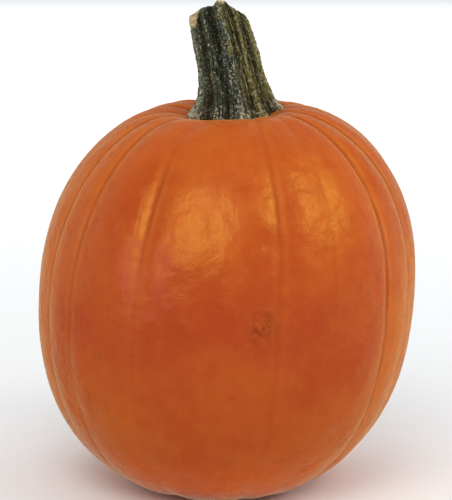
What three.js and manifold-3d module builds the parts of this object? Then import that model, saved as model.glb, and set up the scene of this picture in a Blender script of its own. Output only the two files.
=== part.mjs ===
// A ripe orange field pumpkin, as picked: one ribbed fruit and the stout five-angled stem that it was cut with.
//
// Millimetres, +Z up. The fruit stands at z = 0 on the flattened lobes round its blossom scar, and the origin is
// under the middle of its widest section. The front of the fruit faces -Y. An azimuth is measured round the fruit
// in degrees from that front, positive towards +X. The fruit and the stem are two closed solids, 0.3 mm apart.

import * as THREE from "three";
import { mergeVertices } from "three/addons/utils/BufferGeometryUtils.js";
import Module from "manifold-3d";

const wasm = await Module();
wasm.setup();

// Driving dimensions of the fruit
const HALF_BREADTH = 120.4; // from the axis to a lobe's crest, at the widest section
const WIDEST_HEIGHT = 123.2; // of the widest section above the ground
const UPPER_RISE = 126.4; // from the widest section to the crown, as if the crown had no hollow
const UPPER_SQUARENESS = 2.28; // exponent of the outline: 2 is an ellipse, more is squarer
const LOWER_DROP = 134.1; // from the widest section down, as if the blossom end had no hollow
const LOWER_SQUARENESS = 2.25;
const CROWN_HOLLOW = { depth: 20, width: 32, x: -7, y: -7 };
const CROWN_TILT = 0.035; // how much lower the crown is towards +X, for each millimetre from the axis
const TILT_FALLOFF = 6; // exponent of the rise: more keeps the tilt closer to the crown
const BLOSSOM_HOLLOW = { depth: 13, width: 40 };
const BLOSSOM_SCAR = { depth: 3.5, width: 8 };
const LEAN = { straight: 6.6, bent: 2.1 }; // how far the crown stands towards +X
const OVAL = { size: 1.1, turn: 35 }; // the section is a little oval
const THREE_SIDED = { size: 0.8, turn: 110 }; // and a little three-sided

// One groove between two lobes each: azimuth, how far it drifts by the crown, its depth, and the shares of that
// depth that are left below the widest section, where the front ones fade out, and by the crown
const GROOVES = [
  [-68, -4, 2.3, 0.6, 1.0],
  [-53, 0, 2.0, 0.5, 0.9],
  [-27, 0, 3.2, 0.15, 0.15],
  [-5.5, 1, 0.8, 0.1, 0.3],
  [15, -4, 2.4, 0.25, 0.5],
  [32.5, -1.5, 1.4, 0.1, 0.6],
  [55.5, -7, 2.6, 0.7, 0.9],
  [71.5, -6, 2.3, 0.6, 1.0],
  [92, -3, 1.9, 0.5, 0.8],
  [112, 2, 2.4, 0.4, 1.0],
  [131, 3, 1.5, 0.3, 0.5],
  [152, -2, 2.6, 0.5, 0.9],
  [171, 1, 2.0, 0.3, 0.7],
  [191, -3, 1.4, 0.2, 0.5],
  [212, 2, 2.5, 0.5, 1.0],
  [231, 4, 1.8, 0.4, 0.6],
  [252, -2, 2.3, 0.6, 1.0],
  [272, 2, 1.8, 0.5, 0.8],
];
const GROOVE_DIP = { share: 0.6, width: 7 }; // the soft dip at each groove: its share of the depth, and degrees
const GROOVE_CREASE = { share: 0.4, width: 2.4 }; // and the narrower crease in the middle of it
const GROOVE_FADE = [-0.15, 0.6]; // between these rises a groove goes from its lower to its full depth
const GROOVE_CROWN = [0.62, 0.84]; // and between these to the depth that it has by the crown
const GROOVE_BLOSSOM = { from: 0.75, to: 0.97, share: 0.6 }; // and it deepens again near the blossom end
const GROOVE_START = [10, 27]; // radius at which the grooves start and are fully formed, at the crown and the scar

// Driving dimensions of the stem
const STEM_SUNK = 228; // height at which the stem's solid starts, inside the crown's hollow
const TOE_LEVEL = 238.5; // mean height at which the ridges run out onto the fruit
const TOE_SLANT = { back: 3.2, side: 1.2 }; // how much higher that is at the back, and towards +X
const RIM_LEVEL = 297.2; // mean height of the cut end
const RIM_SLANT = { front: 8, side: 1 }; // how far the cut rises at the front, and towards +X
const RIM_TIP = { azimuth: 22, width: 15, height: 4.5, inward: [0.5, 1] }; // the splinter left on the front rib
const STEM_RADIUS = 19.4; // over the ridges, halfway up
const STEM_TAPER = 0.1; // share of the radius that it loses from its foot to its cut end
const FLARE = { size: 9.5, height: 9 };
const STEM_FOOT = { x: 6.6, y: 0 };
const STEM_TOP = { x: -4.4, y: 3 };
const STEM_BEND = 1.4; // exponent: 1 leans straight, more curves over towards the top
// One rib of the stem each: azimuth, half-width in degrees, share of its full height, and how far its toe sticks out
const RIBS = [
  [8, 14, 1, 0.5],
  [44, 10, 0.6, 1],
  [90, 15, 1, 2],
  [124, 10, 0.6, 0.5],
  [152, 15, 1, 1.5],
  [188, 10, 0.5, 0],
  [225, 15, 1, 2],
  [255, 9, 0.5, 0.5],
  [284, 15, 1, 2.5],
  [330, 10, 0.6, 1],
];
const VALLEY = { body: 3.8, foot: 2.8 }; // depth between the ribs, and what the foot adds to it
const PITH_HOLLOW = 4; // depth of the hollow in the cut end
const CUT_RINGS = [ // of the cut end, from its middle to its rim: share of the radius, and of the hollow's depth
  [0.45, 0.8],
  [0.72, 0.3],
  [0.93, 0],
];
const RIM_DROP = 0.015; // share of the stem's height that the bark's edge lies below the cut end

const SEAT_GAP = 0.3; // between the stem and the fruit

// How finely the solids are cut into facets
const LOBE_COLUMNS = [0, 0.1, 0.3, 0.5, 0.7, 0.9]; // share of the way from one groove to the next
const FRUIT_ROWS = 39;
const STEM_COLUMNS = 72;
const STEM_ROWS = 15;
const STEM_ROW_SPREAD = 1.3; // exponent: more than 1 draws the rows together at the foot

const radians = THREE.MathUtils.degToRad;
const mix = THREE.MathUtils.lerp;
const smooth = THREE.MathUtils.smoothstep;
const bell = (distance, width) => Math.exp(-((distance / width) ** 2));
const turnBetween = (a, b) => THREE.MathUtils.euclideanModulo(a - b + 180, 360) - 180;

// A closed skin: a point, rings of points that go round anticlockwise seen from above, and a last point below.
function closedSkin(top, rings, bottom) {
  const columns = rings[0].length;
  const points = [top, ...rings.flat(), bottom];
  const last = points.length - 1;
  const at = (row, column) => 1 + row * columns + (column % columns);
  const faces = [];
  for (let column = 0; column < columns; column++) {
    faces.push(0, at(0, column), at(0, column + 1));
    faces.push(last, at(rings.length - 1, column + 1), at(rings.length - 1, column));
    for (let row = 0; row < rings.length - 1; row++) {
      const [a, b] = [at(row, column), at(row, column + 1)];
      const [c, d] = [at(row + 1, column), at(row + 1, column + 1)];
      faces.push(a, c, d, a, d, b);
    }
  }
  const geometry = new THREE.BufferGeometry().setFromPoints(points);
  geometry.setIndex(faces);
  return geometry;
}

function grooveAzimuth([azimuth, drift], rise) {
  return azimuth + drift * Math.max(rise, 0) ** 3;
}

// How far the grooves sink the skin. rise is -1 at the blossom end, 0 at the widest section and 1 at the crown.
function grooveSink(azimuth, rise, radius) {
  const fade = smooth(rise, ...GROOVE_FADE);
  const blossom = smooth(-rise, GROOVE_BLOSSOM.from, GROOVE_BLOSSOM.to);
  const nearCrown = smooth(rise, ...GROOVE_CROWN);
  let sink = 0;
  for (const groove of GROOVES) {
    const [, , depth, lower, byCrown] = groove;
    const away = turnBetween(azimuth, grooveAzimuth(groove, rise));
    const dip = GROOVE_DIP.share * bell(away, GROOVE_DIP.width);
    const crease = GROOVE_CREASE.share * bell(away, GROOVE_CREASE.width);
    const left = mix(mix(lower, GROOVE_BLOSSOM.share, blossom), 1, fade) * mix(1, byCrown, nearCrown);
    sink += depth * (dip + crease) * left;
  }
  return sink * smooth(radius, ...GROOVE_START);
}

// How far a point at that polar angle is out from the axis and up from the widest section, each as a share.
function outlineShares(polar) {
  const upper = polar < Math.PI / 2;
  const squareness = upper ? UPPER_SQUARENESS : LOWER_SQUARENESS;
  const out = Math.sin(polar) ** (2 / squareness);
  const rise = Math.abs(Math.cos(polar)) ** (2 / squareness) * (upper ? 1 : -1);
  return { upper, squareness, out, rise };
}

// A point of the fruit's skin. polar is 0 at the crown and 180 degrees at the blossom end.
function fruitPoint(azimuth, polar, grow = 0) {
  const { upper, squareness, out, rise } = outlineShares(polar);
  const reach = upper ? UPPER_RISE : LOWER_DROP;
  const normal = new THREE.Vector2(
    out ** (squareness - 1) / HALF_BREADTH,
    (Math.sign(rise) * Math.abs(rise) ** (squareness - 1)) / reach,
  ).normalize();
  const radius = HALF_BREADTH * out;
  const swell =
    OVAL.size * Math.cos(radians(2 * (azimuth - OVAL.turn))) +
    THREE_SIDED.size * Math.cos(radians(3 * (azimuth - THREE_SIDED.turn)));
  const moved = grow + swell * out - grooveSink(azimuth, rise, radius);
  const skinRadius = radius + moved * normal.x;
  const turn = radians(azimuth);
  const [sine, cosine] = [Math.sin(turn), Math.cos(turn)];
  let height = rise * reach + moved * normal.y;
  if (upper) {
    const fromHollow = Math.hypot(radius * sine - CROWN_HOLLOW.x, -radius * cosine - CROWN_HOLLOW.y);
    height -= CROWN_HOLLOW.depth * bell(fromHollow, CROWN_HOLLOW.width);
    height -= CROWN_TILT * radius * sine * rise ** TILT_FALLOFF;
  } else {
    height += BLOSSOM_HOLLOW.depth * bell(radius, BLOSSOM_HOLLOW.width);
    height += BLOSSOM_SCAR.depth * bell(radius, BLOSSOM_SCAR.width);
  }
  const share = height / UPPER_RISE;
  return new THREE.Vector3(
    skinRadius * sine + LEAN.straight * share + LEAN.bent * share ** 2,
    -skinRadius * cosine,
    Math.max(WIDEST_HEIGHT + height, 0),
  );
}

// The fruit's columns follow the grooves, so that each groove's bottom is an edge of the facets.
function fruitSkin(grow = 0) {
  const rings = [];
  for (let row = 1; row < FRUIT_ROWS; row++) {
    const polar = (Math.PI * row) / FRUIT_ROWS;
    const { rise } = outlineShares(polar);
    const ring = [];
    GROOVES.forEach((groove, index) => {
      const next = GROOVES[(index + 1) % GROOVES.length];
      const start = grooveAzimuth(groove, rise);
      const width = THREE.MathUtils.euclideanModulo(grooveAzimuth(next, rise) - start, 360);
      for (const share of LOBE_COLUMNS) ring.push(fruitPoint(start + share * width, polar, grow));
    });
    rings.push(ring);
  }
  return closedSkin(fruitPoint(0, 0, grow), rings, fruitPoint(0, Math.PI, grow));
}

// Height of the ribs at that azimuth, from 0 in a valley to 1, and how far the toes stick out there.
function ribsAt(azimuth) {
  let height = 0;
  let toe = 0;
  for (const [ribAzimuth, width, ribHeight, ribToe] of RIBS) {
    const nearness = bell(turnBetween(azimuth, ribAzimuth), width);
    height += ribHeight * nearness;
    toe += ribToe * nearness;
  }
  return { height: Math.min(height, 1), toe };
}

// Height of the slanted cut end, at that azimuth and share of the radius
function cutHeight(azimuth, inward) {
  const turn = radians(azimuth);
  const slant = RIM_SLANT.front * Math.cos(turn) + RIM_SLANT.side * Math.sin(turn);
  const tip = RIM_TIP.height * bell(turnBetween(azimuth, RIM_TIP.azimuth), RIM_TIP.width);
  return RIM_LEVEL + slant * inward + tip * smooth(inward, ...RIM_TIP.inward);
}

// A point of the stem. inward is the share of the radius that is left, and drop is how far it lies below the rim.
function stemPoint(azimuth, share, inward = 1, drop = 0) {
  const turn = radians(azimuth);
  const [sine, cosine] = [Math.sin(turn), Math.cos(turn)];
  const height = mix(STEM_SUNK, cutHeight(azimuth, inward), share) - drop;
  const toeLevel = TOE_LEVEL - TOE_SLANT.back * cosine + TOE_SLANT.side * sine;
  const above = Math.max(height - toeLevel, 0);
  const flare = Math.exp(-above / FLARE.height);
  const ribs = ribsAt(azimuth);
  const valley = (VALLEY.body + VALLEY.foot * flare) * (1 - ribs.height);
  const upShare = above / (RIM_LEVEL - TOE_LEVEL);
  const shaft = STEM_RADIUS * (1 + STEM_TAPER * (0.5 - upShare));
  const radius = (shaft + (FLARE.size + ribs.toe) * flare - valley) * inward;
  const lean = upShare ** STEM_BEND;
  return new THREE.Vector3(
    mix(STEM_FOOT.x, STEM_TOP.x, lean) + radius * sine,
    mix(STEM_FOOT.y, STEM_TOP.y, lean) - radius * cosine,
    height,
  );
}

function stemSkin() {
  const ringOf = (...place) =>
    Array.from({ length: STEM_COLUMNS }, (_, column) =>
      stemPoint((360 * column) / STEM_COLUMNS, ...place),
    );
  const rings = CUT_RINGS.map(([inward, hollow]) => ringOf(1, inward, PITH_HOLLOW * hollow));
  for (let row = STEM_ROWS; row >= 0; row--) {
    rings.push(ringOf((row / STEM_ROWS) ** STEM_ROW_SPREAD * (1 - RIM_DROP)));
  }
  const top = new THREE.Vector3(STEM_TOP.x, STEM_TOP.y, RIM_LEVEL - PITH_HOLLOW);
  const bottom = new THREE.Vector3(STEM_FOOT.x, STEM_FOOT.y, STEM_SUNK);
  return closedSkin(top, rings, bottom);
}

function solidOf(geometry) {
  const merged = mergeVertices(geometry);
  return new wasm.Manifold(
    new wasm.Mesh({
      numProp: 3,
      vertProperties: new Float32Array(merged.attributes.position.array),
      triVerts: new Uint32Array(merged.index.array),
    }),
  );
}

function geometryOf(solid) {
  const { vertProperties, triVerts } = solid.getMesh();
  const geometry = new THREE.BufferGeometry();
  geometry.setAttribute("position", new THREE.BufferAttribute(vertProperties, 3));
  geometry.setIndex(new THREE.BufferAttribute(triVerts, 1));
  geometry.computeVertexNormals();
  return geometry;
}

// The rind: waxy, deep orange
const fruitGeometry = fruitSkin();
fruitGeometry.computeVertexNormals();
const fruit = new THREE.Mesh(
  fruitGeometry,
  new THREE.MeshStandardMaterial({ color: 0xc65a20, roughness: 0.4, metalness: 0 }),
);
fruit.name = "fruit";

// The stem: dry, dark green and corky. Its foot is cut to the shape of the crown that it grew on.
const stem = new THREE.Mesh(
  geometryOf(solidOf(stemSkin()).subtract(solidOf(fruitSkin(SEAT_GAP)))),
  new THREE.MeshStandardMaterial({ color: 0x55553c, roughness: 0.85, metalness: 0 }),
);
stem.name = "stem";

const pumpkin = new THREE.Group();
pumpkin.add(fruit, stem);

export default pumpkin;
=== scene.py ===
"""A ripe orange pumpkin with its cut stem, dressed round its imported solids. Metres, +Z up, front to -Y."""

import math

import bpy
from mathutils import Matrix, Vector


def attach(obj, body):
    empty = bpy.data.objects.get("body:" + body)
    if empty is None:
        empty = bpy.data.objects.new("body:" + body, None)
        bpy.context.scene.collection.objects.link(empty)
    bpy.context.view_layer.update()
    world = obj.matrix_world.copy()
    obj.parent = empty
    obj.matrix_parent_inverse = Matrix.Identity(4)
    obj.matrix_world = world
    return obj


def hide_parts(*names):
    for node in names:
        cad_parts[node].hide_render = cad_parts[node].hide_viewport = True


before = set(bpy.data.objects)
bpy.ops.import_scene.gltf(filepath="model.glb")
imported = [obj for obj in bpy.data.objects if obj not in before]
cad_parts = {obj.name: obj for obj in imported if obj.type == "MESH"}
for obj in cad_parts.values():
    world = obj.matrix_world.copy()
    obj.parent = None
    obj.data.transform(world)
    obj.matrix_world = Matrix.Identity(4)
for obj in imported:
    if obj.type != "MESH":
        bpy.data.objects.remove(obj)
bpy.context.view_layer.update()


# The studio
# A pale plain floor under a soft white sky, lit by four soft lights. Three windows in front are there for
# the gloss of the waxy rind alone. A lamp over the floor behind keeps it pale. The camera looks down a little.

PHOTO_SIZE = (452, 500)
PHOTO_AIM = (225.3, 291.7)  # where the middle of the fruit's widest part lies in the photograph, in pixels
PHOTO_FOCAL_LENGTH = 2041  # in pixels
SENSOR = 36  # millimetres along the frame's longer side
CAMERA_ELEVATION = 12
CAMERA_DISTANCE = 1.3
AIM = Vector((0, 0, 0.1232))
NEAREST = 0.05  # what is nearer to the camera than this isn't drawn
SKY_COLOUR = (1.0, 0.97, 0.91, 1)
SKY_STRENGTH = 0.50
FLOOR_HALF_WIDTH = 9.0
FLOOR_COLOUR = (0.83, 0.87, 0.93, 1)
FLOOR_ROUGHNESS = 0.9


def from_aim(azimuth, elevation, distance):
    """A point at that distance from the middle of the fruit. Azimuth 0 is in front, and 90 on the right."""
    turn, tilt = math.radians(azimuth), math.radians(elevation)
    way = Vector((math.sin(turn) * math.cos(tilt), -math.cos(turn) * math.cos(tilt), math.sin(tilt)))
    return AIM + way * distance


def place(name, data, spot):
    """Adds a camera or a light at that spot, turned towards the middle of the fruit."""
    placed = bpy.data.objects.new(name, data)
    placed.location = spot
    placed.rotation_euler = (AIM - spot).to_track_quat("-Z", "Y").to_euler()
    bpy.context.collection.objects.link(placed)
    return placed


lens = bpy.data.cameras.new("camera")
lens.sensor_width = SENSOR
lens.lens = PHOTO_FOCAL_LENGTH * SENSOR / PHOTO_SIZE[1]
lens.shift_x = (PHOTO_SIZE[0] / 2 - PHOTO_AIM[0]) / PHOTO_SIZE[1]
lens.shift_y = (PHOTO_AIM[1] - PHOTO_SIZE[1] / 2) / PHOTO_SIZE[1]
lens.clip_start = NEAREST
camera = place("camera", lens, from_aim(0, CAMERA_ELEVATION, CAMERA_DISTANCE))
bpy.context.scene.camera = camera

# name: azimuth, elevation, distance, width, height, power in watts
SOFT_LIGHTS = {
    "front_light": (-12, 48, 1.5, 0.9, 0.9, 10.0),
    "right_light": (58, 38, 1.5, 0.8, 0.8, 5.4),
    "far_left_light": (-112, 16, 1.6, 0.8, 0.8, 5.4),
    "far_right_light": (112, 8, 1.6, 0.8, 0.8, 9.0),
}
WINDOWS = {
    "left_window": (-26, 35, 1.5, 0.86, 1.02, 70.0),
    "right_window": (61, 38, 1.5, 0.56, 0.82, 44.0),
    "side_window": (-51, 12, 1.5, 0.30, 0.60, 7.5),
}
WINDOW_COLOURS = {
    "left_window": (1.0, 0.79, 0.13),
    "right_window": (1.0, 0.82, 0.10),
    "side_window": (1.0, 0.55, 0.75),
}
BACKDROP_LAMP = {"spot": Vector((-0.8, 2.8, 2.4)), "width": 6.0, "height": 3.4, "spread": 75, "power": 70.0}


def area_light(name, width, height, power, spot):
    light = bpy.data.lights.new(name, "AREA")
    light.shape = "RECTANGLE"
    light.size, light.size_y, light.energy = width, height, power
    return place(name, light, spot)


for name, (azimuth, elevation, distance, *panel) in SOFT_LIGHTS.items():
    soft_light = area_light(name, *panel, from_aim(azimuth, elevation, distance))
    soft_light.visible_glossy = False
for name, (azimuth, elevation, distance, *panel) in WINDOWS.items():
    window = area_light(name, *panel, from_aim(azimuth, elevation, distance))
    window.data.color = WINDOW_COLOURS[name]
    window.visible_diffuse = False
lamp = BACKDROP_LAMP
backdrop_lamp = area_light("backdrop_lamp", lamp["width"], lamp["height"], lamp["power"], lamp["spot"])
backdrop_lamp.data.spread = math.radians(lamp["spread"])
backdrop_lamp.rotation_euler = (0, 0, 0)
backdrop_lamp.visible_glossy = False

sky = bpy.data.worlds.new("sky")
sky.use_nodes = True
sky_light = sky.node_tree.nodes["Background"]
sky_light.inputs["Color"].default_value = SKY_COLOUR
sky_light.inputs["Strength"].default_value = SKY_STRENGTH
bpy.context.scene.world = sky
bpy.context.scene.view_settings.view_transform = "Standard"

floor_mesh = bpy.data.meshes.new("floor")
half = FLOOR_HALF_WIDTH
floor_corners = [(-half, -half, 0), (half, -half, 0), (half, half, 0), (-half, half, 0)]
floor_mesh.from_pydata(floor_corners, [], [(0, 1, 2, 3)])
floor_paint = bpy.data.materials.new("floor_paint")
floor_paint.use_nodes = True
floor_surface = floor_paint.node_tree.nodes["Principled BSDF"]
floor_surface.inputs["Base Color"].default_value = FLOOR_COLOUR
floor_surface.inputs["Roughness"].default_value = FLOOR_ROUGHNESS
floor_mesh.materials.append(floor_paint)
floor = bpy.data.objects.new("floor", floor_mesh)
floor.visible_glossy = False
bpy.context.collection.objects.link(floor)


# The fruit
# One grown body. Its skin is a squarish round with a hollow at the crown, where it hung from the vine, and a
# shallow one at the blossom end, where it rests. Shallow creases run from end to end between its lobes.
# The rind is waxy and deep orange, with pores, faint streaks and a few dry scuffs; in each crease a line of
# painted shade runs between two of painted highlight.

FRUIT_SIZES = {
    "Half breadth": 0.120,
    "Widest height": 0.1232,
    "Upper rise": 0.1264,
    "Upper squareness": 2.28,
    "Lower drop": 0.1341,
    "Lower squareness": 2.25,
    "Crown hollow depth": 0.020,
    "Crown hollow width": 0.032,
    "Crown hollow x": -0.007,
    "Crown hollow y": -0.007,
    "Crown tilt": 0.035,
    "Blossom hollow depth": 0.013,
    "Blossom hollow width": 0.040,
    "Scar depth": 0.0035,
    "Scar width": 0.008,
    "Lean": 0.0066,
    "Bent lean": 0.0021,
    "Oval": 0.0011,
    "Three sided": 0.0008,
    "Lump size": 0.0012,
    "Rows": 180,
    "Columns per lobe": 24,
}
OVAL_TURN = 35
THREE_SIDED_TURN = 110
LUMPS = (3.5, 3.0)  # how fine the lumps of the skin are, and how many finer ones lie in them
# One crease between two lobes each: azimuth and drift by the crown in degrees, depth in millimetres, the
# shares of that depth that are left below the widest part, where the front ones fade out, and by the crown,
# and how sharp the line in the bottom of it is
CREASES = [
    (-68, -4, 2.3, 0.6, 1.0, 1.0),
    (-53, 0, 2.0, 0.5, 0.9, 1.0),
    (-27, 0, 3.2, 0.15, 0.15, 0.2),
    (-5.5, 1, 0.8, 0.1, 0.3, 0.0),
    (15, -4, 2.1, 0.25, 0.5, 0.4),
    (32.5, -1.5, 1.4, 0.1, 0.6, 0.3),
    (55.5, -7, 2.6, 0.7, 0.9, 1.0),
    (71.5, -6, 2.3, 0.6, 1.0, 1.0),
    (92, -3, 1.9, 0.5, 0.8, 0.8),
    (112, 2, 2.4, 0.4, 1.0, 0.6),
    (131, 3, 1.5, 0.3, 0.5, 0.2),
    (152, -2, 2.6, 0.5, 0.9, 0.8),
    (171, 1, 2.0, 0.3, 0.7, 0.4),
    (191, -3, 1.4, 0.2, 0.5, 0.3),
    (212, 2, 2.5, 0.5, 1.0, 0.7),
    (231, 4, 1.8, 0.4, 0.6, 0.3),
    (252, -2, 2.3, 0.6, 1.0, 1.0),
    (272, 2, 1.8, 0.5, 0.8, 0.8),
]
CREASE_PROFILE = [(0.60, 7.0), (0.28, 2.8)]  # share of the depth, and half-width in degrees
CREASE_LINE = (0.14, 0.9)  # the same of the sharp line in the bottom
CREASE_FADE = (-0.15, 0.6)  # between these rises a crease goes from its lower to its full depth
CREASE_CROWN = (0.62, 0.84)  # and between these to the depth that it has by the crown
CREASE_BLOSSOM = {"from": 0.75, "to": 0.97, "share": 0.6}  # and it deepens again near the blossom end
CREASE_START = (0.010, 0.027)  # radius at which the creases start and are fully formed
COLUMN_CROWDING = 0.55  # how much closer together the columns stand at a crease
PAINTED_SHADE_LINE = 0.0017  # half-width of the line of painted shade in the bottom of a crease
PAINTED_HIGHLIGHT_LINE = (0.0034, 0.0018)  # where the painted highlight beside it lies, and its half-width
LINE_STRENGTH = 420  # how strong both lines are, for each metre of the crease's depth
FAINTEST_LINE = 0.3  # the share of it that a crease without a sharp line keeps
MILLIMETRE = 0.001
DEGREE = math.pi / 180
SAME_POINT = 0.00001  # points of a skin that are nearer to each other than this are one


class Value:
    """One output of a node. Arithmetic on it adds Math nodes to its tree, with a number on either side."""

    def __init__(self, tree, socket):
        self.tree = tree
        self.socket = socket

    def math(self, operation, *others):
        return add(self.tree, "ShaderNodeMath", {"operation": operation}, [self, *others])

    def output(self, name):
        return Value(self.tree, self.socket.node.outputs[name])

    def __add__(self, other):
        return self.math("ADD", other)

    def __sub__(self, other):
        return self.math("SUBTRACT", other)

    def __rsub__(self, other):
        return self * -1 + other

    def __mul__(self, other):
        return self.math("MULTIPLY", other)

    def __truediv__(self, other):
        return self.math("DIVIDE", other)

    def __rtruediv__(self, other):
        return self.math("POWER", -1) * other

    def __pow__(self, other):
        return self.math("POWER", other)

    def __mod__(self, other):
        return self.math("FLOORED_MODULO", other)

    __radd__ = __add__
    __rmul__ = __mul__


def add(tree, kind, settings=(), values=(), output=0):
    """Adds a node: its settings first, then its sockets, by place or by name, from numbers or other nodes."""
    node = tree.nodes.new(kind)
    for name, setting in dict(settings).items():
        if name == "index_switch_items":
            for _ in range(setting - len(node.index_switch_items)):
                node.index_switch_items.new()
        else:
            setattr(node, name, setting)
    for socket, value in values.items() if isinstance(values, dict) else enumerate(values):
        if isinstance(value, Value):
            tree.links.new(value.socket, node.inputs[socket])
        else:
            node.inputs[socket].default_value = value
    return Value(tree, node.outputs[output]) if node.outputs else None


def bell(distance, width):
    share = distance / width
    return (share * share * -1).math("EXPONENT")


def smooth(value, low, high, most=1):
    """0 below low and the most above high, with a soft step between."""
    span = {"Value": value, "From Min": low, "From Max": high, "To Max": most}
    return add(value.tree, "ShaderNodeMapRange", {"interpolation_type": "SMOOTHSTEP"}, span)


def mix(share, first, second):
    return share * (second - first) + first


def point(x, y, z):
    tree = next(part.tree for part in (x, y, z) if isinstance(part, Value))
    return add(tree, "ShaderNodeCombineXYZ", {}, [x, y, z])


def noise(where, scale, detail=2.0, roughness=0.5):
    sockets = {"Vector": where, "Scale": scale, "Detail": detail, "Roughness": roughness}
    return add(where.tree, "ShaderNodeTexNoise", {}, sockets)


def skin_tree(name, sizes):
    """A new geometry tree with a named input for each size, and those inputs as values."""
    tree = bpy.data.node_groups.new(name, "GeometryNodeTree")
    for size, value in sizes.items():
        kind = "NodeSocketInt" if isinstance(value, int) else "NodeSocketFloat"
        tree.interface.new_socket(size, in_out="INPUT", socket_type=kind)
    tree.interface.new_socket("Skin", in_out="OUTPUT", socket_type="NodeSocketGeometry")
    first = add(tree, "NodeGroupInput")
    return tree, {size: first.output(size) for size in sizes}


def unrolled_skin(tree, rows, columns):
    """A flat sheet of rows and columns, with each point's row and column."""
    sheet = add(tree, "GeometryNodeMeshGrid", {}, [1, 1, rows + 1, columns + 1])
    place_on_sheet = add(tree, "ShaderNodeSeparateXYZ", {}, [add(tree, "GeometryNodeInputPosition")])
    row = ((place_on_sheet + 0.5) * rows).math("ROUND")
    column = ((place_on_sheet.output("Y") + 0.5) * columns).math("ROUND")
    return sheet, row, column


def close_skin(tree, sheet, marks, place_in_air, material):
    """Stores the marks on the sheet, rolls it up, closes its seam and poles, and gives it its material."""
    for mark, value in marks.items():
        stored = {"Geometry": sheet, "Name": mark, "Value": value}
        sheet = add(tree, "GeometryNodeStoreNamedAttribute", {"data_type": "FLOAT"}, stored)
    rolled = add(tree, "GeometryNodeSetPosition", {}, {"Geometry": sheet, "Position": place_in_air})
    closed = add(tree, "GeometryNodeMergeByDistance", {}, {"Geometry": rolled, "Distance": SAME_POINT})
    soft = add(tree, "GeometryNodeSetShadeSmooth", {}, {"Geometry": closed})
    real = add(tree, "GeometryNodeRealizeInstances", {}, [soft])
    made = add(tree, "GeometryNodeSetMaterial", {}, {"Geometry": real, "Material": material})
    add(tree, "NodeGroupOutput", {}, [made])


def grow(name, tree, sizes):
    """Runs a skin's tree once, and keeps what it makes as a plain mesh."""
    grown = bpy.data.objects.new(name, bpy.data.meshes.new(name + "_seed"))
    bpy.context.collection.objects.link(grown)
    modifier = grown.modifiers.new(name, "NODES")
    modifier.node_group = tree
    for item in tree.interface.items_tree:
        if item.in_out == "INPUT":
            modifier[item.identifier] = sizes[item.name]
    made = grown.evaluated_get(bpy.context.evaluated_depsgraph_get())
    mesh = bpy.data.meshes.new_from_object(made)
    grown.modifiers.remove(modifier)
    grown.data = mesh
    mesh.name = name
    return grown


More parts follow.
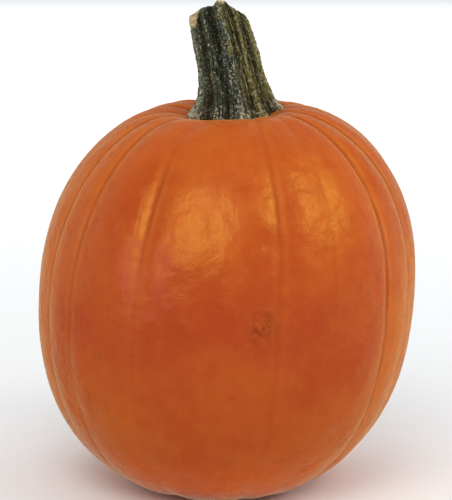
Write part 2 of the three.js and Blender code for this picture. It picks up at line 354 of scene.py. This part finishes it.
def fruit_skin(sizes, material):
    tree, size = skin_tree("fruit_skin", sizes)
    lobes = len(CREASES)
    sheet, row, column = unrolled_skin(tree, size["Rows"], size["Columns per lobe"] * lobes)

    # The outline: out from the axis, and up or down from the widest section
    polar = row / size["Rows"] * math.pi
    upper = polar.math("LESS_THAN", math.pi / 2)
    squareness = mix(upper, size["Lower squareness"], size["Upper squareness"])
    reach = mix(upper, size["Lower drop"], size["Upper rise"])
    side = upper * 2 - 1
    out = polar.math("SINE").math("MAXIMUM", 0) ** (2 / squareness)
    up = polar.math("COSINE").math("ABSOLUTE") ** (2 / squareness)
    rise = side * up
    slope_out = out ** (squareness - 1) / size["Half breadth"]
    slope_up = side * up ** (squareness - 1) / reach
    steepness = (slope_out * slope_out + slope_up * slope_up).math("SQRT")
    radius = size["Half breadth"] * out

    # The lobe that the column is on, from the crease before it to the one after it
    lobe = ((column + 0.5) / size["Columns per lobe"]).math("FLOOR")
    share = column / size["Columns per lobe"] - lobe
    share = share - (share * (2 * math.pi)).math("SINE") * (COLUMN_CROWDING / (2 * math.pi))
    drift = rise.math("MAXIMUM", 0) ** 3
    creases = []
    for place_in_list in (lobe % lobes, (lobe + 1) % lobes):
        azimuth, swing, depth, lower, by_crown, sharp = [
            add(tree, "GeometryNodeIndexSwitch", {"data_type": "FLOAT", "index_switch_items": lobes},
                [place_in_list, *numbers])
            for numbers in zip(*CREASES)
        ]
        creases.append((azimuth + swing * drift, depth * MILLIMETRE, lower, by_crown, sharp))
    start, end = creases[0][0], creases[1][0]
    lobe_width = (end - start) % 360
    azimuth = start + share * lobe_width
    from_start, from_end = share * lobe_width, (share - 1) * lobe_width

    # How deep the creases are there, and the marks of painted shade in each crease and painted highlight
    # beside it, which the rind takes its colour from
    fade = smooth(rise, *CREASE_FADE)
    near_crown = smooth(rise, *CREASE_CROWN)
    blossom = smooth(rise * -1, CREASE_BLOSSOM["from"], CREASE_BLOSSOM["to"])
    formed = smooth(radius, *CREASE_START)
    sink, dark, pale = 0, 0, 0
    for away, (_, depth, lower, by_crown, sharp) in zip((from_start, from_end), creases):
        depth = depth * mix(fade, mix(blossom, lower, CREASE_BLOSSOM["share"]), 1) * formed
        depth = depth * mix(near_crown, 1, by_crown)
        sink = sink + depth * sum(part * bell(away, width) for part, width in CREASE_PROFILE)
        sink = sink + depth * sharp * CREASE_LINE[0] * bell(away, CREASE_LINE[1])
        # Painted shade along the bottom of each crease and painted highlight beside it, stronger the deeper
        # the crease
        along = away * radius * DEGREE
        strength = depth * mix(sharp, FAINTEST_LINE, 1) * LINE_STRENGTH
        dark = dark + bell(along, PAINTED_SHADE_LINE) * strength
        pale = pale + bell(along.math("ABSOLUTE") - PAINTED_HIGHLIGHT_LINE[0], PAINTED_HIGHLIGHT_LINE[1]) * strength

    # The swell of the lobes, and where each point of the skin comes to lie
    turn = azimuth * DEGREE
    sine, cosine = turn.math("SINE"), turn.math("COSINE")
    swell = size["Oval"] * ((azimuth - OVAL_TURN) * (2 * DEGREE)).math("COSINE")
    swell = swell + size["Three sided"] * ((azimuth - THREE_SIDED_TURN) * (3 * DEGREE)).math("COSINE")
    lumps = noise(point(sine * out, cosine * out, rise), *LUMPS) - 0.5
    moved = swell * out - sink + lumps * size["Lump size"] * out
    skin_radius = radius + moved * slope_out / steepness
    hollow_x = radius * sine - size["Crown hollow x"]
    hollow_y = radius * cosine * -1 - size["Crown hollow y"]
    from_hollow = (hollow_x * hollow_x + hollow_y * hollow_y).math("SQRT")
    crown_hollow = size["Crown hollow depth"] * bell(from_hollow, size["Crown hollow width"])
    crown_tilt = size["Crown tilt"] * radius * sine * drift * drift
    blossom_hollow = size["Blossom hollow depth"] * bell(radius, size["Blossom hollow width"])
    scar = size["Scar depth"] * bell(radius, size["Scar width"])
    hollows = mix(upper, blossom_hollow + scar, crown_hollow * -1)
    height = rise * reach + moved * slope_up / steepness + hollows - crown_tilt
    tilt = height / size["Upper rise"]
    x = skin_radius * sine + size["Lean"] * tilt + size["Bent lean"] * tilt * tilt
    y = skin_radius * cosine * -1
    z = (size["Widest height"] + height).math("MAXIMUM", 0)
    marks = {"painted_crease_shade": dark, "painted_crease_highlight": pale, "rise": rise, "axis_distance": radius}
    close_skin(tree, sheet, marks, point(x, y, z), material)
    return tree


RIND_COLOURS = {
    # painted_floor_bounce is painted light: the paler rind at the very bottom stands in for light thrown up
    # from the floor
    "painted_floor_bounce": (0.62, 0.105, 0.011, 1),
    "low": (0.445, 0.083, 0.012, 1),
    "middle": (0.425, 0.067, 0.014, 1),
    "high": (0.49, 0.091, 0.012, 1),
    "red": (0.37, 0.041, 0.009, 1),
    "gold": (0.56, 0.138, 0.012, 1),
    # pale is the pores' and the blossom halo's own colour, and also the painted highlight beside the creases;
    # line is painted shade in their bottoms
    "pale": (0.60, 0.17, 0.020, 1),
    "line": (0.22, 0.030, 0.004, 1),
    "scuff": (0.20, 0.028, 0.005, 1),
    "crown": (0.22, 0.060, 0.008, 1),
    "scar": (0.27, 0.15, 0.065, 1),
}
# Where the rind is redder or more golden over a whole cheek. The golden cheeks on the left and right sides,
# with the redder front between them, are partly painted light for the warmer light towards the rims, and the
# red one high on the right is painted shade over that rim; the cheeks further round are the rind's own tone.
# Azimuth, height above the floor, width, height, how strong, and its colour
CHEEKS_AND_PAINTED_RIM_LIGHT = [
    (4, 0.105, 0.040, 0.045, 0.40, "red"),
    (-40, 0.125, 0.036, 0.060, 0.50, "red"),
    (72, 0.115, 0.030, 0.100, 1.0, "gold"),
    (-76, 0.100, 0.024, 0.080, 0.50, "gold"),
    (88, 0.195, 0.050, 0.045, 0.50, "red"),
    (118, 0.120, 0.045, 0.050, 0.35, "red"),
    (165, 0.150, 0.040, 0.060, 0.40, "gold"),
    (212, 0.090, 0.050, 0.050, 0.45, "red"),
]
MOST_CHEEK = 0.9
# Dry scuffs of the rind: azimuth, height above the floor, width, height, and how strong
SCUFFS = [
    (11.2, 0.131, 0.009, 0.014, 0.48),
    (10.0, 0.1253, 0.006, 0.003, 0.45),
    (8.2, 0.1211, 0.003, 0.004, 0.5),
    (45.5, 0.1387, 0.002, 0.003, 0.6),
    (-60.5, 0.168, 0.002, 0.003, 0.6),
    (-40.2, 0.1025, 0.003, 0.003, 0.5),
    (9.8, 0.0796, 0.003, 0.002, 0.5),
    (100, 0.150, 0.006, 0.010, 0.6),
    (165, 0.090, 0.012, 0.006, 0.6),
    (230, 0.130, 0.005, 0.012, 0.6),
]
MOST_SCUFF = 0.7
# The patterns of the rind: how fine each is, how many finer ones lie in it, and how strong those are
RIND_PATTERNS = {
    "patches": (17, 3.0, 0.5),
    "blotches": (30, 3.0, 0.6),
    "dimples": (42, 2.0, 0.5),
    "breaks": (60, 4.0, 0.6),
    "mottling": (95, 5.0, 0.65),
    "tatters": (260, 4.0, 0.7),
    "grain": (420, 3.0, 0.6),
}
STREAK_PATTERN = (34, 4.0, 0.6)
STREAK_CHANGE = 0.05  # how little a streak changes from end to end
# The pores: how fine they are, how far out from its middle each one ends, where in the mottling they show and
# how much, and how deep they lie
PORES = {"scale": 300, "size": (0.10, 0.30), "mottling": (0.40, 0.60, 0.04), "bump": -0.6}
# The ground colour, which is painted light: the rind is paler at the very bottom, standing in for light thrown
# up from the floor, darkest round the middle and lighter on the upper half, where more light falls from above.
# The heights above the floor between which it changes, and to what
RIND_PAINTED_LIGHT_BY_HEIGHT = [(0.0, 0.05, "low"), (0.06, 0.12, "middle"), (0.125, 0.20, "high")]
# Paint where a pattern is high or low: the values between which it comes in, its largest share, its colour
RIND_LAYERS = [
    ("patches", "high", (0.45, 0.75, 0.30), "gold"),
    ("patches", "low", (0.46, 0.72, 0.50), "red"),
    ("mottling", "high", (0.50, 0.72, 0.16), "gold"),
    ("mottling", "low", (0.52, 0.72, 0.30), "red"),
    ("streaks", "high", (0.50, 0.75, 0.08), "gold"),
    ("streaks", "low", (0.50, 0.75, 0.10), "red"),
]
# The painted lines of the creases, highlight beside and shade in the bottom: the mark, its colour, its shares
# where it is faint and clear, and the largest one
CREASE_PAINT = [("painted_crease_highlight", "pale", 0.22, 0.56, 0.5), ("painted_crease_shade", "line", 0.22, 0.58, 0.6)]
CLEAR_LINE = (0.30, 0.62)  # between these values of the breaks a line becomes clear
TATTERED = (0.42, 0.62)  # and between these of the tatters a scuff is whole
UPPER_HALF = (0.0, 0.5)  # rises between which the lower half gives way to the upper one
SIDE_FADE = (0, 0.03)  # how far in front of the axis a cheek or a scuff fades out, on its own side
ON_AXIS = 0.0001  # added to the distance from the axis, so that no streak divides by nothing there
# The tired green round the stem, and the blossom's scar with its pale halo: the radii between which each
# ends, and its share between the tatters and on them
CROWN_RING = {"radius": (0.028, 0.038), "share": (0.25, 0.65)}
SCAR = {"radius": (0.0065, 0.0105), "share": (0.7, 1)}
HALO = {"radius": (0.010, 0.030), "share": 0.45}
# Roughness all over, and what each pattern and mark adds to it
RIND_ROUGHNESS = {"even": 0.28, "mottling": 0.25, "patches": 0.25, "scuff": 0.08, "scar": 0.4}
SOFT_RELIEF = {"mottling": 0.8, "dimples": 2.4, "streaks": 0.15}  # how much of each pattern is in it
RIND_BUMPS = {"fine": (0.0002, 0.35), "soft": (0.0018, 0.65), "dry": (0.0012, 0.5)}  # depth and strength
DRY_SCAR = 2  # how much higher the scar stands than a scuff
RIND_GLOSS = {
    "IOR": 1.16,
    "Coat Weight": 0.012,
    "Coat Roughness": 0.15,
    "Coat IOR": 1.4,
    "Sheen Weight": 0.26,
    "Sheen Roughness": 0.33,
    "Sheen Tint": (1.0, 0.88, 0.30, 1),
}


def colour_mix(share, first, second):
    """Share 0 is the first colour, share 1 the second."""
    return add(share.tree, "ShaderNodeMix", {"data_type": "RGBA"}, {0: share, 6: first, 7: second}, 2)


def mark(tree, name):
    return add(tree, "ShaderNodeAttribute", {"attribute_name": name}, {}, "Fac")


def new_surface(name):
    """A new material: its tree, its surface node, and the place of each point on the object."""
    material = bpy.data.materials.new(name)
    material.use_nodes = True
    tree = material.node_tree
    return material, tree, tree.nodes["Principled BSDF"], add(tree, "ShaderNodeTexCoord", {}, {}, "Object")


def finish_surface(tree, surface, links, fixed):
    for socket, value in links.items():
        tree.links.new(value.socket, surface.inputs[socket])
    for socket, value in fixed.items():
        surface.inputs[socket].default_value = value


def bump(height, depth, strength, under=None):
    sockets = {"Height": height, "Distance": depth, "Strength": strength}
    if under:
        sockets["Normal"] = under
    return add(height.tree, "ShaderNodeBump", {}, sockets)


def rind():
    material, tree, surface, where = new_surface("rind")
    paint = RIND_COLOURS
    part = add(tree, "ShaderNodeSeparateXYZ", {}, [where])
    x, y, z = part, part.output("Y"), part.output("Z")
    around = (x * x + y * y).math("SQRT") + ON_AXIS
    rise, axis_distance = mark(tree, "rise"), mark(tree, "axis_distance")

    def spread(azimuth, height, width, tall):
        turn = math.radians(azimuth)
        across = x * math.cos(turn) + y * math.sin(turn)
        facing = smooth(x * math.sin(turn) - y * math.cos(turn), *SIDE_FADE)
        return bell(across, width) * bell(z - height, tall) * facing

    # Large soft patches, long streaks from end to end, mottling and pores
    pattern = {name: noise(where, *fineness) for name, fineness in RIND_PATTERNS.items()}
    streak_place = point(x / around, y / around, rise * STREAK_CHANGE)
    pattern["streaks"] = noise(streak_place, *STREAK_PATTERN)
    mottling = pattern["mottling"]
    pore_cells = add(tree, "ShaderNodeTexVoronoi", {}, {"Vector": where, "Scale": PORES["scale"]})
    pores = 1 - smooth(pore_cells, *PORES["size"])

    # Painted light by height: paler at the very bottom for light from the floor, darkest round the middle,
    # lighter on the upper half
    colour = paint["painted_floor_bounce"]
    for low, high, painted_height_colour in RIND_PAINTED_LIGHT_BY_HEIGHT:
        colour = colour_mix(smooth(z, low, high), colour, paint[painted_height_colour])
    # The golden side cheeks are partly painted rim light and the red one high on the right is painted shade;
    # the rest are the rind's own tone
    for *cheek, strong, cheek_and_rim_light_paint in CHEEKS_AND_PAINTED_RIM_LIGHT:
        share = (spread(*cheek) * strong * (0.5 + pattern["blotches"])).math("MINIMUM", MOST_CHEEK)
        colour = colour_mix(share, colour, paint[cheek_and_rim_light_paint])
    for name, places, step, layer in RIND_LAYERS:
        strength = pattern[name] if places == "high" else 1 - pattern[name]
        colour = colour_mix(smooth(strength, *step), colour, paint[layer])
    colour = colour_mix(pores * smooth(mottling, *PORES["mottling"]), colour, paint["pale"])

    # The creases: painted highlight on both sides of a line of painted shade, both broken up along their
    # length
    clear = smooth(pattern["breaks"], *CLEAR_LINE)
    for line, line_paint, faint_share, clear_share, most in CREASE_PAINT:
        share = (mark(tree, line) * mix(clear, faint_share, clear_share)).math("MINIMUM", most)
        colour = colour_mix(share, colour, paint[line_paint])

    # Dry scuffs, the tired green round the stem and the corky scar of the blossom
    ragged = smooth(pattern["tatters"], *TATTERED)
    scuffed = sum(spread(*scuff) * strong for *scuff, strong in SCUFFS) * ragged
    colour = colour_mix(scuffed.math("MINIMUM", MOST_SCUFF), colour, paint["scuff"])
    upper = smooth(rise, *UPPER_HALF)
    lower = 1 - upper

    def inside(radii):
        return 1 - smooth(axis_distance, *radii)

    ring = inside(CROWN_RING["radius"]) * upper * mix(ragged, *CROWN_RING["share"])
    colour = colour_mix(ring, colour, paint["crown"])
    colour = colour_mix(inside(HALO["radius"]) * lower * HALO["share"], colour, paint["pale"])
    scar = inside(SCAR["radius"]) * lower
    colour = colour_mix(scar * mix(ragged, *SCAR["share"]), colour, paint["scar"])

    rough = RIND_ROUGHNESS
    roughness = sum((pattern[name] - 0.5) * rough[name] for name in ("mottling", "patches"))
    roughness = roughness + rough["even"] + scuffed * rough["scuff"] + scar * rough["scar"]
    fine = bump(pattern["grain"] + pores * PORES["bump"], *RIND_BUMPS["fine"])
    relief = sum(pattern[name] * share for name, share in SOFT_RELIEF.items())
    soft = bump(relief, *RIND_BUMPS["soft"], fine)
    dry = bump(scuffed + scar * ragged * DRY_SCAR, *RIND_BUMPS["dry"], soft)
    links = {"Base Color": colour, "Roughness": roughness, "Normal": dry}
    finish_surface(tree, surface, links, RIND_GLOSS)
    return material


fruit = grow("pumpkin_fruit", fruit_skin(FRUIT_SIZES, rind()), FRUIT_SIZES)
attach(fruit, "root")
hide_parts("fruit")


# The stem
# The woody stalk of the vine, cut through on a slant. It is five-angled, with smaller ribs between them,
# leans to one side, and spreads at its foot into toes that grip the crown. Its bark is dark green to olive,
# dry and corky, covered in pale speckles where its bristles were. The cut end is pale and fibrous.

STEM_SIZES = {
    "Sunk foot": 0.2305,
    "Toe level": 0.2385,
    "Toe slant": 0.0032,
    "Toe side slant": 0.0012,
    "Rim level": 0.2970,
    "Rim slant": 0.0080,
    "Rim side slant": 0.0010,
    "Rim tip": 0.0034,
    "Radius": 0.0194,
    "Taper": 0.10,
    "Flare": 0.0095,
    "Flare height": 0.009,
    "Foot x": 0.0066,
    "Foot y": 0.0,
    "Top x": -0.0044,
    "Top y": 0.003,
    "Bend": 1.4,
    "Valley": 0.0038,
    "Foot valley": 0.0028,
    "Pith hollow": 0.004,
    "Bulge": 0.0030,
    "Fibre depth": 0.0017,
    "Knob depth": 0.0018,
    "Rim jag": 0.0044,
    "Rows": 210,
    "Columns": 360,
}
SPLINTER = (22, (9, 24))  # azimuth of the splinter left on the front rib, and how far off it falls away
SPLINTER_ROOT = (0.5, 1)  # shares of the radius between which it rises from the cut end
# One rib each: azimuth, half-width in degrees, share of its full height, and how far its toe sticks out in
# millimetres
RIBS = [
    (8, 14, 1.0, 0.5),
    (44, 10, 0.6, 1.0),
    (90, 15, 1.0, 2.0),
    (124, 10, 0.6, 0.5),
    (152, 15, 1.0, 1.5),
    (188, 10, 0.5, 0.0),
    (225, 15, 1.0, 2.0),
    (255, 9, 0.5, 0.5),
    (284, 15, 1.0, 2.5),
    (330, 10, 0.6, 1.0),
]
# Where the pale torn wood reaches down the bark from the rim: azimuth, half-width in degrees, and how far
TORN_WOOD = [(22, 9, 0.0020), (92, 16, 0.0008), (150, 20, 0.0018), (192, 14, 0.0032), (288, 23, 0.0078)]
TORN_EDGE = {"fibres": 0.0016, "width": 0.0014}  # how far fibres stick out of its edge, and how soft that is
CUT_END_ROWS = 0.12  # share of the rows that lie on the cut end
FOOT_ROWS = 0.05  # and on the closed foot, inside the crown
ROUNDED_EDGE = (0.93, 0.0012)  # share of the radius where the cut end's edge starts, and the edge's height
PITH_EDGE = (0.3, 0.95)  # shares of the radius between which the pith's hollow ends
TUCK = {"drop": 0.001, "height": 0.0016, "depth": 0.0012}  # where the skin tucks in, below the toes' ends
FOOT_BULGE = 1.5  # how much larger the bulges grow at the foot
FIBRE_SHARPNESS = {"coarse": 5, "fine": 3}  # how steep the sides of the fibres are
FIBRE_MIDDLE = 0.6  # the height of the fibres that leaves the bark where it is
# The uneven parts of the stem: how fast each changes up the stem, how fine it is round it, how many finer
# ones lie in it, and how strong those are
STEM_PATTERNS = {
    "torn": (0, 6.0, 3.0, 0.7),
    "bulges": (12, 4.0, 2.0, 0.6),
    "coarse": (3, 5.5, 2.0, 0.6),
    "fine": (7, 15.0, 3.0, 0.6),
    "knobs": (35, 11.2, 2.0, 0.5),
}


def stem_skin(sizes, material):
    tree, size = skin_tree("stem_skin", sizes)
    sheet, row, column = unrolled_skin(tree, size["Rows"], size["Columns"])
    azimuth = column / size["Columns"] * 360
    turn = azimuth * DEGREE
    sine, cosine = turn.math("SINE"), turn.math("COSINE")

    def away_from(spot):
        return (azimuth - spot).math("WRAP", 180, -180)

    def uneven(name, height=0):
        stretch, *fineness = STEM_PATTERNS[name]
        return noise(point(sine, cosine, height * stretch), *fineness)

    # Down the cut end, down the bark, and in across the foot
    down = row / size["Rows"]
    cut_share = (down / CUT_END_ROWS).math("MINIMUM", 1)
    bark_share = (down - CUT_END_ROWS) / (1 - CUT_END_ROWS - FOOT_ROWS)
    bark_share = bark_share.math("MAXIMUM", 0).math("MINIMUM", 1)
    foot = ((down - (1 - FOOT_ROWS)) / FOOT_ROWS).math("MAXIMUM", 0)
    inner_edge, edge_height = ROUNDED_EDGE
    below_rim = bark_share * (size["Rim level"] - size["Sunk foot"])
    edge = 1 - (below_rim / -edge_height).math("EXPONENT")
    inward = (cut_share * inner_edge + edge * (1 - inner_edge)) * (1 - foot)

    # The ribs, their toes, and the rim: slanted and torn round a hollow pith
    ribs, toes = 0, 0
    for rib_azimuth, width, rib_height, toe in RIBS:
        nearness = bell(away_from(rib_azimuth), width)
        ribs = ribs + nearness * rib_height
        toes = toes + nearness * (toe * MILLIMETRE)
    bare = sum(bell(away_from(spot), width) * reach for spot, width, reach in TORN_WOOD)
    ribs = ribs.math("MINIMUM", 1)
    splinter_azimuth, splinter_sides = SPLINTER
    splinter = 1 - smooth(away_from(splinter_azimuth).math("ABSOLUTE"), *splinter_sides)
    splinter = size["Rim tip"] * splinter * smooth(cut_share, *SPLINTER_ROOT)
    slant = size["Rim slant"] * cosine + size["Rim side slant"] * sine
    jag = (uneven("torn") - 0.5) * size["Rim jag"]
    rim = size["Rim level"] + splinter + (slant + jag) * cut_share
    hollow = size["Pith hollow"] * (1 - smooth(cut_share * inner_edge, *PITH_EDGE))
    height = mix(1 - bark_share, size["Sunk foot"], rim) - hollow

    # The bark: ribs and valleys, sharp fibres along them, and small knobs where the bristles were
    toe_level = size["Toe level"] - size["Toe slant"] * cosine + size["Toe side slant"] * sine
    above = (height - toe_level).math("MAXIMUM", 0)
    flare = (above / size["Flare height"] * -1).math("EXPONENT")
    valley = (size["Valley"] + size["Foot valley"] * flare) * (1 - ribs)
    coarse_fibre, fine_fibre = uneven("coarse", height), uneven("fine", height)
    fibres = 1 - (coarse_fibre - 0.5).math("ABSOLUTE") * FIBRE_SHARPNESS["coarse"]
    fibres = fibres - (fine_fibre - 0.5).math("ABSOLUTE") * FIBRE_SHARPNESS["fine"]
    fibres = fibres.math("MAXIMUM", 0)
    knobs = uneven("knobs", height)
    bulges = (uneven("bulges", height) - 0.5) * size["Bulge"] * (1 + FOOT_BULGE * flare)
    relief = bulges + (fibres - FIBRE_MIDDLE) * size["Fibre depth"] + (knobs - 0.5) * size["Knob depth"]
    tuck = bell(height - toe_level + TUCK["drop"], TUCK["height"]) * TUCK["depth"]
    up_share = above / (size["Rim level"] - size["Toe level"])
    shaft = size["Radius"] * (1 + size["Taper"] * (0.5 - up_share))
    radius = shaft + (size["Flare"] + toes) * flare - valley - tuck + relief * cut_share
    radius = radius * inward
    lean = mix(cut_share, 1, up_share ** size["Bend"])
    x = mix(lean, size["Foot x"], size["Top x"]) + radius * sine
    y = mix(lean, size["Foot y"], size["Top y"]) - radius * cosine
    marks = {
        "rib": ribs,
        "fibre": fibres,
        "knob": knobs,
        "bare": 1 - smooth(below_rim - bare - fine_fibre * TORN_EDGE["fibres"], -TORN_EDGE["width"], 0),
        "inward": cut_share,
        "flare": flare,
        "side": sine,
    }
    close_skin(tree, sheet, marks, point(x, y, height), material)
    return tree


def linear(red, green, blue):
    """A colour as a screen shows it, each part from 0 to 255, in the linear values that a material takes."""
    shares = [channel / 255 for channel in (red, green, blue)]
    return (*[s / 12.92 if s <= 0.04045 else ((s + 0.055) / 1.055) ** 2.4 for s in shares], 1)


BARK_COLOURS = {
    "black": linear(20, 24, 20),
    "blue_green": linear(62, 73, 66),
    "olive": linear(92, 86, 50),
    "brown": linear(98, 76, 52),
    "dark_brown": linear(60, 42, 28),
    "crest": linear(124, 134, 118),
    "straw": linear(166, 154, 94),
    "speck": linear(228, 230, 216),
    "toe": linear(196, 192, 176),
    "cut": linear(206, 188, 146),
    "cut_ring": linear(126, 106, 78),
    "pith": linear(140, 112, 74),
}
BARK_PATTERNS = {"patches": (130, 4.0, 0.6), "spots": (430, 2.0, 0.6), "flecks": (820, 2.0, 0.6)}
# Streaks along the bark: the sine of their azimuth, half-width, share and colour
STREAKS = [
    (0.50, 0.018, 0.75, "straw"),
    (0.66, 0.020, 0.75, "straw"),
    (0.88, 0.020, 0.65, "straw"),
    (-0.62, 0.020, 0.75, "straw"),
    (-0.80, 0.055, 0.45, "dark_brown"),
    (-0.97, 0.070, 0.55, "crest"),
    (0.10, 0.060, 0.65, "black"),
    (0.78, 0.040, 0.60, "dark_brown"),
]
STREAK_WANDER = 0.06  # how far the patches push a streak to the side
FOOT_OLIVE = 0.35  # how much of the olive the foot takes on
RIB_SHARE = 0.55  # how much of the bark's height is its ribs, and the rest its fibres
KNOB_SPECKS = 0.3  # how much more specks there are on the knobs
SPECKLING = {"valley": 0.20, "rib": 0.62, "sunny": 0.4}  # their share, and what the sunny side takes off it
# Where each colour comes in: the values of its pattern between which it does, its largest share, and how
# strongly a finer pattern breaks up its edge
BARK_STEPS = {
    "sunny side": (0, 0.45, 1, 1.6),
    "far side": (0.40, 0.90, 0.35, 2.2),
    "brown": (0.54, 0.70, 0.40, 0),
    "crest": (0.62, 0.94, 0.62, 0.8),
    "valley": (0.38, 0.68, 0.94, 0.6),
    "streak": (0.36, 0.50, 1, 0),
    "speck": (0.54, 0.68, 1, 0.5),
    "speckled rib": (0.25, 0.80, 1, 0),
    "hole": (0.58, 0.70, 0.85, 0.5),
    "toe": (0.44, 0.86, 0.75, 2.6),
    "toe foot": (0.18, 0.75, 1, 0),
    "painted toe shade": (0.56, 0.68, 0.75, 0.6),
    "painted toe shade foot": (0.08, 0.40, 1, 0),
    "torn fibre": (0.42, 0.68, 0.6, 0),
    "round pith": (0.20, 0.45, 1, 0),
}
CUT_RING = (0.72, 0.10, 0.6)  # the darker ring of the cut end: share of the radius, half-width, and its share
BARK_ROUGHNESS = {"even": 0.80, "flecks": 0.3}
BARK_BUMPS = {"coarse": (0.0010, 0.8), "corky": (0.0007, 0.9)}  # depth and strength
FIBRE_BUMP = 1.5  # how much of the fibres and flecks is in them
BARK_GLOSS = {"Specular IOR Level": 0.08}


def bark():
    material, tree, surface, where = new_surface("bark")
    paint = BARK_COLOURS
    rib, fibre, knob = mark(tree, "rib"), mark(tree, "fibre"), mark(tree, "knob")
    bare, inward, flare, side = [mark(tree, name) for name in ("bare", "inward", "flare", "side")]
    patches, spots, flecks = [noise(where, *fineness) for fineness in BARK_PATTERNS.values()]

    def step(name, value, finer=None):
        low, high, most, break_up = BARK_STEPS[name]
        if finer:
            value = value + finer * break_up
        return smooth(value, low, high, most)

    # Blue-green on one side, olive and brown on the other, black between the ribs and fibres, paler on crests
    sunny = step("sunny side", side, patches - 0.5)
    far_side = step("far side", side * -1, patches - 0.5)
    olive_side = (sunny + far_side + flare * FOOT_OLIVE).math("MINIMUM", 1)
    colour = colour_mix(olive_side, paint["blue_green"], paint["olive"])
    colour = colour_mix(step("brown", patches), colour, paint["brown"])
    crest = colour_mix(olive_side, paint["crest"], paint["straw"])
    height = mix(RIB_SHARE, fibre, rib)
    colour = colour_mix(step("crest", height, flecks + spots - 1), colour, crest)
    colour = colour_mix(step("valley", 1 - height, flecks - 0.5), colour, paint["black"])
    for streak_side, streak_width, streak_share, streak_paint in STREAKS:
        streak = bell(side + (patches - 0.5) * STREAK_WANDER - streak_side, streak_width)
        colour = colour_mix(streak * step("streak", spots) * streak_share, colour, paint[streak_paint])

    # Pale specks all over, thickest on the ribs, with dark holes between them, and pale toes with painted
    # shade, black, between them
    specks = step("speck", flecks + (knob - 0.5) * KNOB_SPECKS, spots - 0.5)
    speckling = mix(step("speckled rib", height), SPECKLING["valley"], SPECKLING["rib"])
    speckling = speckling * (1 - SPECKLING["sunny"] * sunny)
    colour = colour_mix(specks * speckling, colour, paint["speck"])
    holes = step("hole", 1 - flecks, 0.5 - spots)
    colour = colour_mix(holes, colour, paint["black"])
    toes = step("toe foot", flare) * step("toe", height, flecks + spots - 1)
    colour = colour_mix(toes, colour, paint["toe"])
    # Painted shade: black in the gaps between the toes at the foot
    painted_toe_shade = step("painted toe shade foot", flare) * step("painted toe shade", 1 - height, spots - 0.5)
    colour = colour_mix(painted_toe_shade, colour, paint["black"])

    # The cut end: pale torn wood, a darker ring of fibres and a brown pith
    ring_place, ring_width, ring_share = CUT_RING
    wood = colour_mix(step("torn fibre", flecks), paint["cut"], paint["cut_ring"])
    wood = colour_mix(bell(inward - ring_place, ring_width) * ring_share, wood, paint["cut_ring"])
    wood = colour_mix(1 - step("round pith", inward), wood, paint["pith"])
    colour = colour_mix(bare, colour, wood)

    roughness = BARK_ROUGHNESS["even"] + (flecks - 0.5) * BARK_ROUGHNESS["flecks"]
    coarse = bump(patches + fibre * FIBRE_BUMP, *BARK_BUMPS["coarse"])
    corky = bump(specks + flecks * FIBRE_BUMP + knob, *BARK_BUMPS["corky"], coarse)
    links = {"Base Color": colour, "Roughness": roughness, "Normal": corky}
    finish_surface(tree, surface, links, BARK_GLOSS)
    return material


stem = grow("pumpkin_stem", stem_skin(STEM_SIZES, bark()), STEM_SIZES)
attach(stem, "root")
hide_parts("stem")
